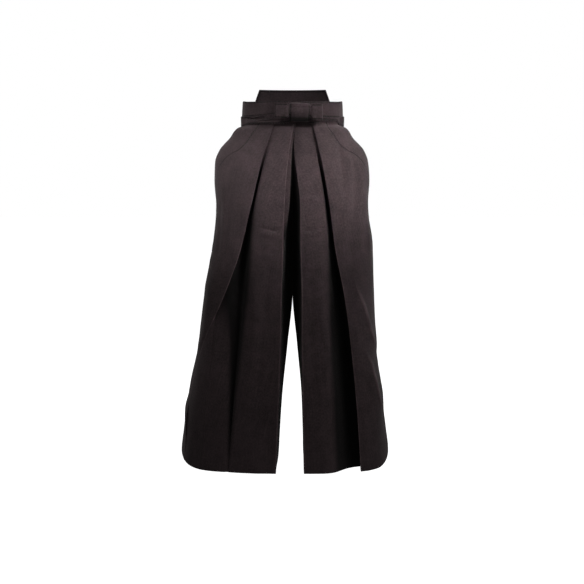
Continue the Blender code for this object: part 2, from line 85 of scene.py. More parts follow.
LEFT_FRONT = (
    Fold(OUTER, HARD, (50, 72, 101, 116.5, 140, 161, 176, 187), (1.1, 1.1, 1, 1, 1, 1, 1, 1)),
    Fold("outer underlay", HARD, (88, 111, 134, 146, 156, 172, 186, 195), (3.3, 3.4, 20, 36, 54, 60, 56, 46)),
    Fold("valley", SOFT, (58, 67, 96, 112, 125, 142, 150, 152), (4.8, 10, 36, 48, 60, 66, 62, 46)),
    Fold("centre face", SOFT, (34, 54, 84, 90, 90, 96, 104, 106), (8.5, 7.5, 4, 5, 6, 7, 7, 5)),
    Fold(CENTRE, HARD, (1.4, 4.5, 21, 22.5, 25, 26, 29, 32), (16, 12.5, 2, 1, 1, 1, 1, 1)),
    Fold("centre underlay", HARD, (45, 44, 38, 24, 25, 25, 29, 32), (18.2, 15, 10, 16, 22, 28, 30, 32)),
    Fold("inner wall", SOFT, (20, 20, 17, 16, 17, 22, 28, 31.5), (19.3, 16.5, 34, 60, 90, 118, 125, 138)),
)
RIGHT_BACK = (
    Fold("back flute", SOFT, (80, 100, 130, 148, 165, 182, 196, 208), (0, 1, 3, 7, 12, 18, 22, 26)),
    Fold(SEAT, HARD, (4, 6, 13, 20, 30, 40, 50, 62), (1.1, 1.1, 1, 1, 1, 1, 1, 1)),
    Fold("back underlay", HARD, (44, 46, 34, 21, 28, 38, 49, 61), (3.5, 4.4, 8, 18, 24, 26, 28, 30)),
    Fold("inner wall", SOFT, (22, 22, 14, 9, 9, 20, 34, 47), (4.8, 6.2, 22, 54, 86, 108, 112, 118)),
)
LEFT_BACK_OUT = (
    (80, 100, 130, 146, 158, 166, 176, 184),
    (4, 6, 13, 20, 28, 34, 42, 50),
    (44, 46, 34, 21, 26, 32, 41, 49),
    (22, 22, 14, 9, 9, 18, 29, 38),
)
LEFT_BACK = tuple(fold._replace(out=out) for fold, out in zip(RIGHT_BACK, LEFT_BACK_OUT))
# The inner seam: where the two legs meet, and below the crotch the inside of each leg.
MEET_OUT = 0.15
SEAM_OUT = {RIGHT: (MEET_OUT,) * 5 + (14, 29.5, 40), LEFT: (MEET_OUT,) * 5 + (13, 26, 31)}
SEAM_DEEP = {
    FRONT: (20.5, 18, 46, 84, 126, 165.2, 200, 240),
    BACK: (6.6, 7.5, 34, 80, 128, 159.2, 200, 240),
}
SEAM_DEEPEST = 200  # beyond this it is at the middle plane
INSIDE_LEG_Y = 0.8  # from a seam inside a leg to the middle plane

# The free edge of the side slit on the ring.
SLIT_Z = (-20, -38, -107, -190, -258)
EDGE_DEGREES = {FRONT: (74, 75, 80, 86, 90), BACK: (62, 64, 74, 84, 90)}

# Broad ridges and troughs of the front's outer faces: from one (out, z) to another, how wide and how high.
CROSSINGS = (
    (LEFT, (158, -440), (231, -660), 16, 6),
    (LEFT, (178, -620), (254, -840), 18, 6),
    (LEFT, (165, -150), (172, -420), 26, -5),
    (RIGHT, (170, -230), (190, -430), 26, -5),
    (RIGHT, (304, -820), (262, -965), 16, 5),
)

WAIST_TILT, TILT_Z = 6, (-60, -150)
HEM_DROP_FRONT, HEM_DROP_BACK, HEM_RISE = 14, 4, 22
HANG_Y = 150  # where the drop is full
SIDE_X = (120, 180)  # where the hem rises
DROP_Z = (-500, -965)
CROTCH_Z, GUSSET_POINT_Z = -495, -620
GUSSET_GAP = 0.4  # between the gusset and the panels' seams

# ---- how finely it is drawn

TOP_Z, HEM_Z = -22, -965
ROW_STEP, COLUMN_STEP, RING_STEPS = 4.5, 5.6, 160
OUTER_WIDTH, OUTER_LESS = 402, 0.55  # an outer face, less a share of where its fold is
LEAST_COLUMNS = 3
FOLD_POINTS = 7  # round the edge of a pressed fold
FOLD_BACK, FOLD_BLUNT = 0.3, 0.8  # how far back its middle is, in layers, and how blunt it is
ROWS = np.linspace(TOP_Z, HEM_Z, int((TOP_Z - HEM_Z) / ROW_STEP) + 1)
CLOTH = 1.0  # a single layer
HEM_CLOTH, HEM_DEPTH = 1.9, 32  # the hem, where the cloth is double
HEM_STEP = (4, 6)  # it starts this far above, over this height
HEM_EDGE = 0.9  # the very edge, in layers
TURN = 0.8  # half the distance between the two layers of a turned edge
TURN_ROUND = np.radians((36, 72, 108, 144))[:, None]  # the points round it
TURN_STEPS = 8
EDGE_POINTS = TURN_STEPS + len(TURN_ROUND)  # a row's points before its outer face
EDGE_BACK = 1.5  # a side edge is this far inside the ring's
SEAM_TURN = 10  # the cloth turned in at an inner seam
CENTRE_LAP, LEG_LAP = 0.35, 0.15  # how far its two edges overlap at the centre and inside a leg
LEAST_SLOPE, LEAST_HOLD = 0.35, 0.2  # how squarely they reach the centre, and how far back they are held
TURN_Z = (-20, -255, -290, -965)
TURN_WIDTH = (33, 33, 12, 12)  # at the side: the deep hem of the slit, then the side seam's

# The stitched line of the slit's hem on the front, and its distance from the edge on the back.
FRONT_STITCH_Z = (-22, -35, -59, -85, -105, -118, -139, -162, -200, -262)
FRONT_STITCH_OUT = (90, 93, 110, 127, 147, 170, 191, 204, 209, 208)
BACK_STITCH_FROM_EDGE = 30.0
STITCH_PAST, STITCH_RAISED = 4, 0.6  # how far it goes below the slit, and how far out the thread lies

# The painted highlight of the fold edges is a distance from the palest line: more by the first number at a
# pressed edge, spread by the second beside a ridge, and more by the third at its ends.
EDGE_HIGHLIGHT_AWAY, RIDGE_HIGHLIGHT_SPREAD, RIDGE_END_HIGHLIGHT_AWAY = 1.4, 0.7, 4
# From a pressed fold to the full height of a crease and of the drape, and from the side edge to both.
CREASE_CLEAR, DRAPE_CLEAR, SIDE_CLEAR = 12, 22, 28

# Soft creases, by panel and by the run of cloth that ends at a fold line, with a third word where their tops
# get a
# painted highlight: how wide, how high (a trough is negative), and the x and z of each point of a path.
CREASES = {
    ("front_right", CENTRE): (
        (4, -2.2, -80, -92, -62, -86, -42, -88), (5, -5.4, -94, -314, -66, -320, -52, -325, -32, -317),
        (7, 3.4, -90, -330, -66, -334, -52, -337, -32, -330), (9, -2.1, -96, -384, -70, -378, -44, -386),
        (7, -2.7, -78, -670, -56, -653, -34, -646), (8, 2.2, -84, -690, -58, -676, -36, -668),
        (9, 2.0, -116, -548, -92, -556, -64, -550), (11, 3.4, -96, -440, -104, -600, -116, -820),
        (9, -2.4, -66, -380, -74, -560, -92, -780),
    ),
    ("front_right", OUTER): (
        (9, -3.2, -194, -226, -200, -310, -208, -410), (10, 2.5, -158, -210, -164, -300, -176, -400),
        (9, 2.4, -222, -330, -230, -420, -244, -520), (7, -2.5, -222, -560, -226, -660, -238, -800),
        (8, -2.4, -252, -700, -236, -716, -214, -712), (9, 2.1, -262, -744, -240, -760, -216, -752),
        (8, -3.0, -240, -770, -250, -860, -258, -948), (10, 3.0, -214, -420, -236, -560, -252, -690),
        (11, 2.6, -176, -150, -186, -240, -192, -330),
    ),
    ("front_left", CENTRE): (
        (6, 3.2, 22, -243, 48, -236, 74, -245), (5, -5.2, 22, -321, 50, -324, 70, -316, 96, -312),
        (7, 3.2, 26, -332, 52, -335, 72, -328, 92, -325), (10, 2.1, 34, -430, 66, -418, 98, -426),
        (9, -2.1, 40, -690, 68, -700, 98, -692), (10, 3.2, 70, -360, 80, -560, 92, -800),
        (9, -2.6, 46, -400, 52, -600, 64, -820),
    ),
    ("front_left", OUTER, "rubbed"): (
        (4, 3.2, 158, -440, 195, -529, 231, -657), (4.5, 3.0, 185, -635, 217, -692, 254, -839),
    ),
    ("front_left", OUTER): (
        (8, -2.8, 126, -72, 134, -150, 144, -262), (8, 2.1, 152, -100, 157, -180, 160, -280),
        (9, 2.2, 196, -205, 204, -300, 212, -420), (10, -2.4, 150, -330, 160, -400, 166, -470),
    ),
    ("back_right", SEAT): (
        (7, -3.3, -104, -328, -72, -342, -40, -335), (7, 2.5, -108, -348, -74, -360, -42, -352),
        (9, -2.8, -186, -232, -193, -330, -202, -430), (10, 2.5, -146, -200, -154, -300, -166, -410),
        (9, -2.2, -204, -688, -170, -704, -128, -698), (9, 2.8, -150, -560, -166, -660, -186, -780),
    ),
    ("back_left", SEAT): (
        (7, -3.2, 34, -300, 68, -312, 100, -303), (7, 2.2, 36, -318, 70, -330, 104, -320),
        (9, -2.8, 178, -226, 185, -320, 192, -424), (9, 2.8, 146, -500, 156, -600, 170, -706),
        (8, -2.2, 58, -640, 92, -652, 126, -643),
    ),
}


# ---- small functions


def smooth_at(xs, ys, x):
    """A smooth curve through (xs, ys), with no overshoot, read at x."""
    xs, ys = np.asarray(xs, float), np.asarray(ys, float)
    if xs[0] > xs[-1]:
        xs, ys = xs[::-1], ys[::-1]
    x = np.clip(x, xs[0], xs[-1])
    step = np.diff(xs)
    slope = np.diff(ys) / step
    tangent = np.zeros(len(xs))
    tangent[0], tangent[-1] = slope[0], slope[-1]
    for i in range(1, len(xs) - 1):
        before, after = slope[i - 1], slope[i]
        if before * after > 0:
            w1, w2 = 2 * step[i] + step[i - 1], step[i] + 2 * step[i - 1]
            tangent[i] = (w1 + w2) / (w1 / before + w2 / after)
    i = min(np.searchsorted(xs, x, side="right"), len(step)) - 1
    t = (x - xs[i]) / step[i]
    start = (1 + 2 * t) * (1 - t) ** 2 * ys[i] + t * (1 - t) ** 2 * step[i] * tangent[i]
    end = t * t * (3 - 2 * t) * ys[i + 1] + t * t * (t - 1) * step[i] * tangent[i + 1]
    return float(start + end)


def eased(t):
    t = np.clip(t, 0.0, 1.0)
    return t * t * (3 - 2 * t)


def eased_over(x, start, end):
    return eased((x - start) / (end - start))


def hump(x, start, end, rising, falling):
    """1 between start and end, with smooth steps inside them, and 0 outside."""
    return eased((x - start) / rising) * eased((end - x) / falling)


def unit(vector):
    return vector / np.linalg.norm(vector)


def lengths_along(line):
    return np.concatenate([[0], np.cumsum(np.linalg.norm(np.diff(line, axis=0), axis=1))])


def read_line(line, along, at):
    """Points at distances along a line."""
    return np.stack([np.interp(at, along, line[:, k]) for k in range(line.shape[1])], axis=-1)


def distance_to_path(points, path):
    """How far points are from a path, and the share of it they are beside."""
    path = np.asarray(path, float)
    along = lengths_along(path)
    best = np.full(points.shape[:-1], 1e9)
    share = np.zeros(points.shape[:-1])
    for a, b, start, end in zip(path[:-1], path[1:], along[:-1], along[1:]):
        t = np.clip(((points - a) @ (b - a)) / np.dot(b - a, b - a), 0, 1)
        away = np.linalg.norm(points - a - t[..., None] * (b - a), axis=-1)
        nearer = away < best
        best = np.where(nearer, away, best)
        share = np.where(nearer, (start + t * (end - start)) / along[-1], share)
    return best, share


# ---- the cloth's surface


class Level:
    """The ring at one height."""

    def __init__(self, z):
        _, heights, *sizes = zip(*RINGS)
        right, left, front, back, square = (smooth_at(heights, size, z) for size in sizes)
        self.z, self.square = z, square
        self.reach = {RIGHT: right, LEFT: left}
        self.depth = {FRONT: front, BACK: back}

    def points(self, degrees, leg, face):
        """Points on the ring, as (out, back), and their outward directions."""
        sine, cosine = np.sin(np.radians(degrees)), np.cos(np.radians(degrees))
        out = self.reach[leg] * np.sign(sine) * np.abs(sine) ** (2 / self.square)
        away = self.depth[face] * np.maximum(cosine, 0) ** (2 / self.square)
        direction = np.stack([out / self.reach[leg] ** 2, away / self.depth[face] ** 2], axis=-1)
        return np.stack([out, away], axis=-1), direction / np.linalg.norm(direction, axis=-1, keepdims=True)

    def side_edge(self, face):
        """Where the outer face starts on the ring."""
        return smooth_at(SLIT_Z, EDGE_DEGREES[face], self.z)

    def degrees(self, out, leg):
        share = min(abs(out) / self.reach[leg], 1.0) ** (self.square / 2)
        return math.copysign(math.degrees(math.asin(share)), out)

    def away(self, out, leg, face):
        """How far the ring is from the middle plane, in front or behind, at a distance out."""
        share = np.clip(np.abs(out) / self.reach[leg], 0, 1) ** self.square
        return self.depth[face] * (1 - share) ** (1 / self.square)


def crossing_height(leg, out, z):
    """How far the front's broad ridges and troughs stand off the ring at one height."""
    total = np.zeros_like(out)
    for side, start, end, width, height in CROSSINGS:
        if side == leg:
            along = np.subtract(end, start).astype(float)
            points = np.stack([out, np.full_like(out, z)], axis=-1) - np.array(start, float)
            share = (points @ along) / np.dot(along, along)
            away = np.linalg.norm(points - np.clip(share, 0, 1)[:, None] * along, axis=-1)
            total += height * hump(share, -0.15, 1.15, 0.4, 0.4) * np.exp(-((away / width) ** 2))
    return total


def outer_part(level, leg, face, first_tip, kind, count):
    """The turned-in side edge and the outer face, as (out, away) points."""
    angles = np.linspace(level.side_edge(face), level.degrees(first_tip[0], leg), RING_STEPS)
    line, direction = level.points(angles, leg, face)
    if face == FRONT:
        line = line + direction * crossing_height(leg, line[:, 0], level.z)[:, None]
    along = lengths_along(line)
    end_deep = first_tip[1] - (LAYER / 2 if kind == HARD else 0)
    at = EDGE_BACK + (along[-1] - EDGE_BACK) * np.linspace(0, 1, count + 2)[:-1]
    face_points = read_line(line, along, at)
    face_points[:, 1] -= end_deep * eased((at - EDGE_BACK) / (along[-1] - EDGE_BACK))
    inside = EDGE_BACK + np.linspace(smooth_at(TURN_Z, TURN_WIDTH, level.z), 0, TURN_STEPS)
    turned = read_line(line, along, inside) - 2 * TURN * read_line(direction, along, inside)
    edge, outward = (read_line(each, along, EDGE_BACK) for each in (line, direction))
    bend, tangent = TURN_ROUND[::-1], unit(line[1] - line[0])
    round_edge = edge + outward * (TURN * (np.cos(bend) - 1)) - tangent * (TURN * np.sin(bend))
    return np.concatenate([turned, round_edge, face_points])


def crease_round(before, tip, after):
    """The rounded edge of a pressed fold, from one layer to the other."""
    point = unit(unit(tip - before) - unit(after - tip))
    across = np.array([-point[1], point[0]])
    if np.dot(before - after, across) < 0:
        across = -across
    centre = tip - point * FOLD_BACK * LAYER
    bend = np.radians(np.linspace(0, 180, FOLD_POINTS))[:, None]
    return centre + (across * np.cos(bend) + point * np.sin(bend) * FOLD_BLUNT) * LAYER / 2


def between(before, a, b, after, t):
    """A share t of the way from a to b, on a smooth curve through all four points."""
    leave, arrive = t * (1 - t) ** 2 / 2, t * t * (t - 1) / 2
    return a + (b - a) * eased(t) + (b - before) * leave + (after - a) * arrive


def curve_through(points, counts):
    """A smooth curve through the points after the first, with counts[i] more between each pair."""
    padded = [2 * points[0] - points[1], *points, 2 * points[-1] - points[-2]]
    places = [(i, k / (count + 1)) for i, count in enumerate(counts) for k in range(1, count + 2)]
    return [between(*padded[i : i + 4], t) for i, t in places]


def closed_curve(points, at):
    """A smooth closed curve through the points, read at numbers that count them."""
    fours = [np.roll(points, 1 - int(number), axis=0)[:4] for number in at]
    return np.array([between(*four, number % 1) for four, number in zip(fours, at)])


def tip_at(fold, z):
    return np.array([smooth_at(STATION_Z, places, z) for places in (fold.out, fold.deep)])


def seam_tip(level, leg, face):
    out, deep = (smooth_at(STATION_Z, places, level.z) for places in (SEAM_OUT[leg], SEAM_DEEP[face]))
    return np.array([out, min(deep, level.away(out, leg, face) - INSIDE_LEG_Y)])


def fine_counts(leg, face, folds):
    """How many points come before each fold line and the inner seam."""
    counts = [int((OUTER_WIDTH - OUTER_LESS * folds[0].out[0]) / COLUMN_STEP)]
    lines = [(f.out, f.deep) for f in folds]
    lines.append((SEAM_OUT[leg], np.minimum(SEAM_DEEP[face], SEAM_DEEPEST)))
    for one, other in zip(lines[:-1], lines[1:]):
        widest = np.linalg.norm(np.subtract(other, one), axis=0).max()
        counts.append(max(LEAST_COLUMNS, int(widest / COLUMN_STEP)))
    return counts


def panel_section(level, leg, face, folds, counts):
    """A plan section's (x, y) points, with the part of the panel, whether pressed, and the depth of each."""
    tips = [tip_at(f, level.z) for f in folds] + [seam_tip(level, leg, face)]
    outer = outer_part(level, leg, face, tips[0], folds[0].kind, counts[0])
    parts, pressed = [0] * len(outer), [0] * len(outer)
    last = np.array([outer[-1][0], level.away(outer[-1][0], leg, face) - outer[-1][1]])
    inner, run, run_counts = [], [last], []
    for i, fold in enumerate(folds):
        run_counts.append(counts[i] if i else 0)
        if fold.kind == SOFT:
            run.append(tips[i])
            continue
        bend = crease_round(run[-1], tips[i], tips[i + 1])
        piece = curve_through([*run, bend[0]], run_counts)
        inner += piece + list(bend[1:])
        parts += [i] * (len(piece) + FOLD_POINTS // 2) + [i + 1] * (FOLD_POINTS // 2)
        pressed += [0] * (len(piece) - 1) + [1] * FOLD_POINTS
        run, run_counts = [bend[-1]], []
    toward = unit(tips[-1] - run[-1])
    reach = TURN + CLOTH / 2
    hold = reach - INSIDE_LEG_Y + LEG_LAP
    if level.z > CROTCH_Z:
        hold = max(reach - (tips[-1][0] + CENTRE_LAP) / max(abs(toward[0]), LEAST_SLOPE), LEAST_HOLD)
    end = tips[-1] - toward * hold
    piece = curve_through([*run, end], [*run_counts, counts[-1]])
    inside = np.array([toward[1], -toward[0]])
    piece += list(end + toward * TURN * np.sin(TURN_ROUND) + inside * TURN * (1 - np.cos(TURN_ROUND)))
    piece += [end + 2 * TURN * inside - toward * s for s in np.linspace(0, SEAM_TURN, 4)]
    inner = np.array(inner + piece)
    parts += [len(folds)] * len(piece)
    pressed += [0] * len(piece)
    out = np.concatenate([outer[:, 0], inner[:, 0]])
    away = np.concatenate([outer[:, 1], level.away(inner[:, 0], leg, face) - inner[:, 1]])
    sunk = level.away(out, leg, face) - away
    return np.stack([leg * out, face * away], axis=-1), np.array(parts), np.array(pressed), sunk


def hang(x, y, z):
    """The height of a panel's point: its row's, with the waist's tilt and the hem's drop."""
    tilt = WAIST_TILT * y / RINGS[0].front * (1 - eased_over(z, *TILT_Z))
    front, back = eased(-y / HANG_Y) * HEM_DROP_FRONT, eased(y / HANG_Y) * HEM_DROP_BACK
    beside = eased_over(np.abs(x), *SIDE_X)
    side = (1 - eased(np.abs(y) / HANG_Y)) * HEM_RISE * beside
    return z + tilt - (front + back - side) * eased_over(z, *DROP_Z)


def surface_normals(grid, closed=False):
    across = np.roll(grid, -1, axis=1) - np.roll(grid, 1, axis=1) if closed else np.gradient(grid, axis=1)
    normal = np.cross(across, np.gradient(grid, axis=0))
    return normal / np.maximum(np.linalg.norm(normal, axis=2, keepdims=True), 1e-9)


def fabric_coordinates(grid):
    """Where each point lies on the flat cloth, in metres."""
    u = np.array([lengths_along(row) for row in grid])
    down = np.linalg.norm(np.diff(grid, axis=0), axis=2)
    v = np.concatenate([np.zeros((1, grid.shape[1])), np.cumsum(down, axis=0)], axis=0)
    v = np.broadcast_to(v.mean(axis=1, keepdims=True), v.shape)
    return np.stack([u * MM, v * MM, np.zeros_like(u)], axis=-1)


# ---- making meshes

FAR = 50.0  # the distance given where no seam or crease is near


def new_object(name, data):
    made = bpy.data.objects.new(name, data)
    bpy.context.scene.collection.objects.link(made)
    return made


def finish_mesh(name, points, faces, attributes, sharp=40):
    """A smooth mesh object, with its normals outward, and with attributes of its points."""
    mesh = bpy.data.meshes.new(name)
    mesh.from_pydata((points * MM).tolist(), [], faces.tolist())
    mesh.update()
    for key, values in attributes.items():
        kind, field = ("FLOAT_VECTOR", "vector") if values.ndim == 2 else ("FLOAT", "value")
        layer = mesh.attributes.new(key, kind, "POINT")
        layer.data.foreach_set(field, np.ascontiguousarray(values, np.float32).ravel())
    a, b, c, d = (points[faces[:, k]] for k in (0, 1, 2, -1))
    if (a * np.cross(b, c)).sum() + (a * np.cross(c, d)).sum() < 0:
        mesh.flip_normals()
    mesh.shade_smooth()
    mesh.set_sharp_from_angle(angle=math.radians(sharp))
    return new_object(name, mesh)


def shell(name, grid, thick, closed=False, seam=None, crease=None, sunk=None):
    """A closed sheet about a grid of points, with distances to a seam and to a fold edge with a painted
    highlight, and depths for painted shade.
    """
    rows, columns = grid.shape[:2]
    half = np.broadcast_to(np.asarray(thick, float), (rows, columns))[..., None] / 2
    normal = surface_normals(grid, closed)
    points = np.concatenate([(grid + normal * half).reshape(-1, 3), (grid - normal * half).reshape(-1, 3)])
    index = np.arange(rows * columns).reshape(rows, columns)
    if closed:
        index = np.hstack([index, index[:, :1]])
    shift = rows * columns
    quads = np.stack([index[:-1, :-1], index[:-1, 1:], index[1:, 1:], index[1:, :-1]], axis=-1)
    faces = [quads.reshape(-1, 4), quads.reshape(-1, 4)[:, ::-1] + shift]
    borders = [(index[0], 1), (index[-1], -1)]
    if not closed:
        borders += [(index[:, 0], -1), (index[:, -1], 1)]
    for line, order in borders:
        rim = np.stack([line[:-1] + shift, line[1:] + shift, line[1:], line[:-1]], axis=-1)
        faces.append(rim[:, ::order])
    attributes = {"cloth": np.tile(fabric_coordinates(grid).reshape(-1, 3), (2, 1))}
    for key, values, none in (("seam", seam, FAR), ("crease", crease, FAR), ("sunk", sunk, 0.0)):
        attributes[key] = np.full(2 * shift, none) if values is None else np.tile(values.reshape(-1), 2)
    return finish_mesh(name, points, np.concatenate(faces), attributes)


def stitches(name, slot, runs, length=2.6, pitch=4.2, radius=0.32):
    """Short threads, pointed at both ends, along runs of (points, outward directions)."""
    points, faces = [], []
    for line, outward in runs:
        along = lengths_along(line)
        for k in range(int(along[-1] / pitch)):
            at = (k + 0.2) * pitch + np.array([0, length])
            (a, b), (up, _) = read_line(line, along, at), read_line(outward, along, at)
            side = unit(np.cross(b - a, up)) * radius
            middle, up = (a + b) / 2, unit(up) * radius
            for i, j in ((1, 2), (2, 3), (3, 4), (4, 1)):
                faces += [np.add(len(points), (0, i, j)), np.add(len(points), (5, j, i))]
            points += [a, middle + side, middle + up, middle - side, middle - up, b]
    thread = finish_mesh("stitching_" + name, np.array(points), np.array(faces), {}, sharp=180)
    return place(thread, slot, material=THREAD)


# ---- materials

COTTON = {
    "Roughness": 0.88,
    "Specular IOR Level": 0.15,
    "Sheen Weight": 0.05,
    "Sheen Roughness": 0.5,
    "Sheen Tint": (1.0, 0.92, 0.91, 1.0),
}
HIGHLIGHT_WIDTH = 3.4  # mm from the edge of a fold, over which its painted highlight spreads
HIGHLIGHT_Z, HIGHLIGHT_STRENGTH = (-0.2, -0.42), (0.35, 1.6)  # a painted highlight, stronger low down, by the height in metres
# how the painted highlight varies in patches: the noise's range, and the strengths it gives
HIGHLIGHT_NOISE, HIGHLIGHT_PATCHES = (0.35, 0.65), (0.45, 1.3)
GROOVE_WIDTH, GROOVE_SHADE, GROOVE_DEPTH = 2.8, -0.75, -1.1  # the groove of a stitched line
DARK_DEEP, PAINTED_SHADE_TONE = (5.0, 24.0), (1.0, 0.08)  # the depth inside a pleat over which the painted shade comes on, and the tone it gives
YARN_SCALE = 0.314 / 0.0006  # of the wave texture, for yarns 0.6 mm apart
WEAVE_HEIGHT, FUZZ_HEIGHT = 0.06, 0.35


def new_material(name, settings):
    """A material, its node tree and its shader, with the shader's settings."""
    made = bpy.data.materials.new(name)
    made.use_nodes = True
    shader = made.node_tree.nodes["Principled BSDF"]
    for key, value in settings.items():
        shader.inputs[key].default_value = value
    return made, made.node_tree, shader


def graded(tree, value, span, gives, kind="LINEAR"):
    """A value of a node tree brought from one range to another."""
    one = tree.nodes.new("ShaderNodeMapRange")
    one.interpolation_type = kind
    for key, number in enumerate((*span, *gives), start=1):
        one.inputs[key].default_value = number
    tree.links.new(value, one.inputs["Value"])
    return one.outputs["Result"]


def cloth_material(name, colour, slub, weave=0.5, grain=1.4):
    """Matt cotton: plain weave, slubs along the warp, a painted highlight on fold edges, and painted shade
    inside the pleats.
    """
    made, tree, shader = new_material(name, COTTON)

    def node(kind, inputs=(), **settings):
        one = tree.nodes.new("ShaderNode" + kind)
        for key, value in settings.items():
            setattr(one, key, value)
        for key, value in dict(inputs).items():
            if isinstance(value, bpy.types.NodeSocket):
                tree.links.new(value, one.inputs[key])
            else:
                one.inputs[key].default_value = value
        return one

    def maths(operation, a, b=0.0, c=0.0):
        return node("Math", {0: a, 1: b, 2: c}, operation=operation).outputs[0]

    def attribute(name):
        return node("Attribute", attribute_name=name)

    def noise(vector, scale, stretch=(1, 1, 1), detail=3):
        mapped = node("Mapping", {"Vector": vector, "Scale": stretch}).outputs["Vector"]
        return node("TexNoise", {"Vector": mapped, "Scale": scale, "Detail": detail}).outputs["Fac"]

    def line_at(name, wide):
        """1 on the line that the attribute measures from, and 0 further off than wide."""
        far = maths("ABSOLUTE", attribute(name).outputs["Fac"])
        return graded(tree, far, (0.0, wide), (1.0, 0.0), "SMOOTHSTEP")

    cloth = attribute("cloth").outputs["Vector"]
    position = node("TexCoord").outputs["Object"]
    height_up = node("SeparateXYZ", {0: position}).outputs["Z"]
    fuzz = noise(cloth, 1.0, (240, 200, 1), 4)
    # painted highlight: the edges of folds are drawn paler, more so low down, and in patches
    patchy = graded(tree, noise(position, 26.0, detail=2), HIGHLIGHT_NOISE, HIGHLIGHT_PATCHES)
    rubbed = maths("MULTIPLY", line_at("crease", HIGHLIGHT_WIDTH), graded(tree, height_up, HIGHLIGHT_Z, HIGHLIGHT_STRENGTH))
    rubbed = maths("MULTIPLY", rubbed, patchy)
    groove = line_at("seam", GROOVE_WIDTH)
    # painted shade: cloth deep inside a pleat is drawn darker
    painted_shade = graded(tree, attribute("sunk").outputs["Fac"], DARK_DEEP, PAINTED_SHADE_TONE, "SMOOTHSTEP")

    tone = 1.0
    for pattern, strength in (
        (noise(position, 9.0, detail=4), 0.7),  # faded patches
        (noise(position, 45.0, detail=3), 0.6),  # mottling
        (noise(cloth, 1.0, (260, 9, 1), 2), slub),
        (fuzz, grain),
    ):
        tone = maths("MULTIPLY_ADD", maths("SUBTRACT", pattern, 0.5), strength, tone)
    tone = maths("ADD", rubbed, tone)
    tone = maths("MULTIPLY", maths("MULTIPLY_ADD", groove, GROOVE_SHADE, tone), painted_shade)
    shade = node("VectorMath", {0: colour, "Scale": tone}, operation="SCALE").outputs[0]
    tree.links.new(shade, shader.inputs["Base Color"])

    wave = {"Vector": cloth, "Scale": YARN_SCALE}
    warp, weft = (node("TexWave", wave, bands_direction=way).outputs["Fac"] for way in "XY")
    height = maths("MULTIPLY", maths("ADD", warp, weft), WEAVE_HEIGHT)
    height = maths("MULTIPLY_ADD", fuzz, FUZZ_HEIGHT, height)
    height = maths("MULTIPLY_ADD", groove, GROOVE_DEPTH, height)
    bump = node("Bump", {"Height": height, "Strength": weave, "Distance": MM})
    tree.links.new(bump.outputs["Normal"], shader.inputs["Normal"])
    return made


def thread_material():
    made, tree, shader = new_material("thread", {"Roughness": 0.6})
    twist = tree.nodes.new("ShaderNodeTexNoise")
    twist.inputs["Scale"].default_value = 900
    shade = graded(tree, twist.outputs["Fac"], (0, 1), (0.010, 0.020))
    tree.links.new(shade, shader.inputs["Base Color"])
    return made


COTTONS = {
    "cotton_panels": cloth_material("panel_cotton", (0.0262, 0.0180, 0.0194), 0.6),
    "cotton_ties": cloth_material("tie_cotton", (0.0262, 0.0180, 0.0194), 0.3),
    "cotton_board": cloth_material("board_cotton", (0.0240, 0.0170, 0.0182), 0.3),
}
THREAD = thread_material()


def place(piece, slot, *nodes, material=None):
    """Puts a finished piece on the frame, in the place of CAD nodes."""
    piece.data.materials.append(material or COTTONS[slot])
    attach(piece, "root")
    if nodes:
        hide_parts(*nodes)
    return piece


# ---- the panels


def stitch_line(level, leg, face):
    """A point of the slit's stitched line, and its outward direction."""
    line, direction = level.points(np.linspace(level.side_edge(face), 20, RING_STEPS), leg, face)
    along = lengths_along(line)
    at = BACK_STITCH_FROM_EDGE
    if face == FRONT:
        at = np.interp(-smooth_at(FRONT_STITCH_Z, FRONT_STITCH_OUT, level.z), -line[:, 0], along)
    point, outward = (read_line(each, along, at) for each in (line, direction))
    return (leg * point[0], face * point[1]), (leg * outward[0], face * outward[1], 0.0)


def drape(grid, leg, face, pressed_gap):
    """The slight unevenness of hanging cloth. Each length divided by is one radian of a wave."""
    x, z = grid[..., 0], grid[..., 2]
    swing = 1.3 * leg + 0.7 * face  # each panel has its own
    bend = 1.6 * np.sin(z / 113 + swing) + 0.8 * np.sin(z / 47 + x / 70)
    broad = np.sin(x / 23 + swing * 2 + z / 410) + 0.5 * np.sin(z / 71 + x / 90 + swing * 3)
    flutes = 0.62 * np.sin(x / 6.4 + bend + z / 260) * (0.55 + 0.45 * np.sin(z / 87 + x / 41 + swing))
    slanting = 0.65 * np.sin(x / 13 - bend - z / 90) * (0.5 + 0.5 * np.sin(z / 60 - x / 33 + 2 * swing))
    wrinkles = 0.32 * np.sin(z / 9.5 + x / 16 + bend * 2)
    wrinkles = wrinkles * (0.5 + 0.5 * np.sin(x / 29 + z / 51 + swing)) ** 2
    below_ties = 0.35 + 0.65 * eased((-90 - z) / 160)
    return (broad + flutes + slanting + wrinkles) * below_ties * eased(pressed_gap / DRAPE_CLEAR)


def soft_creases(name, grid, parts, run_names, gap, pale):
    """How far a panel's soft creases stand out, and the distances for the painted highlight with theirs
    included.
    """
    away = np.zeros(grid.shape[:2])
    for (panel, run, *rubbed), creases in CREASES.items():
        if panel != name:
            continue
        last = run_names.index(run)
        here = np.isin(parts, (0, last) if run == SEAT else (last,))[None, :]
        for width, height, *path in creases:
            distance, share = distance_to_path(grid[..., [0, 2]], np.reshape(path, (-1, 2)))
            shape = np.exp(-((distance / width) ** 2)) * hump(share, 0, 1, 0.25, 0.25)
            away += height * shape * here * eased(gap / CREASE_CLEAR)
            # a painted highlight along the tops of these ridges
            if rubbed:
                ridge = RIDGE_HIGHLIGHT_SPREAD * distance + RIDGE_END_HIGHLIGHT_AWAY * (1 - hump(share, 0, 1, 0.3, 0.3))
                pale = np.where(here, np.minimum(pale, ridge), pale)
    return away, pale


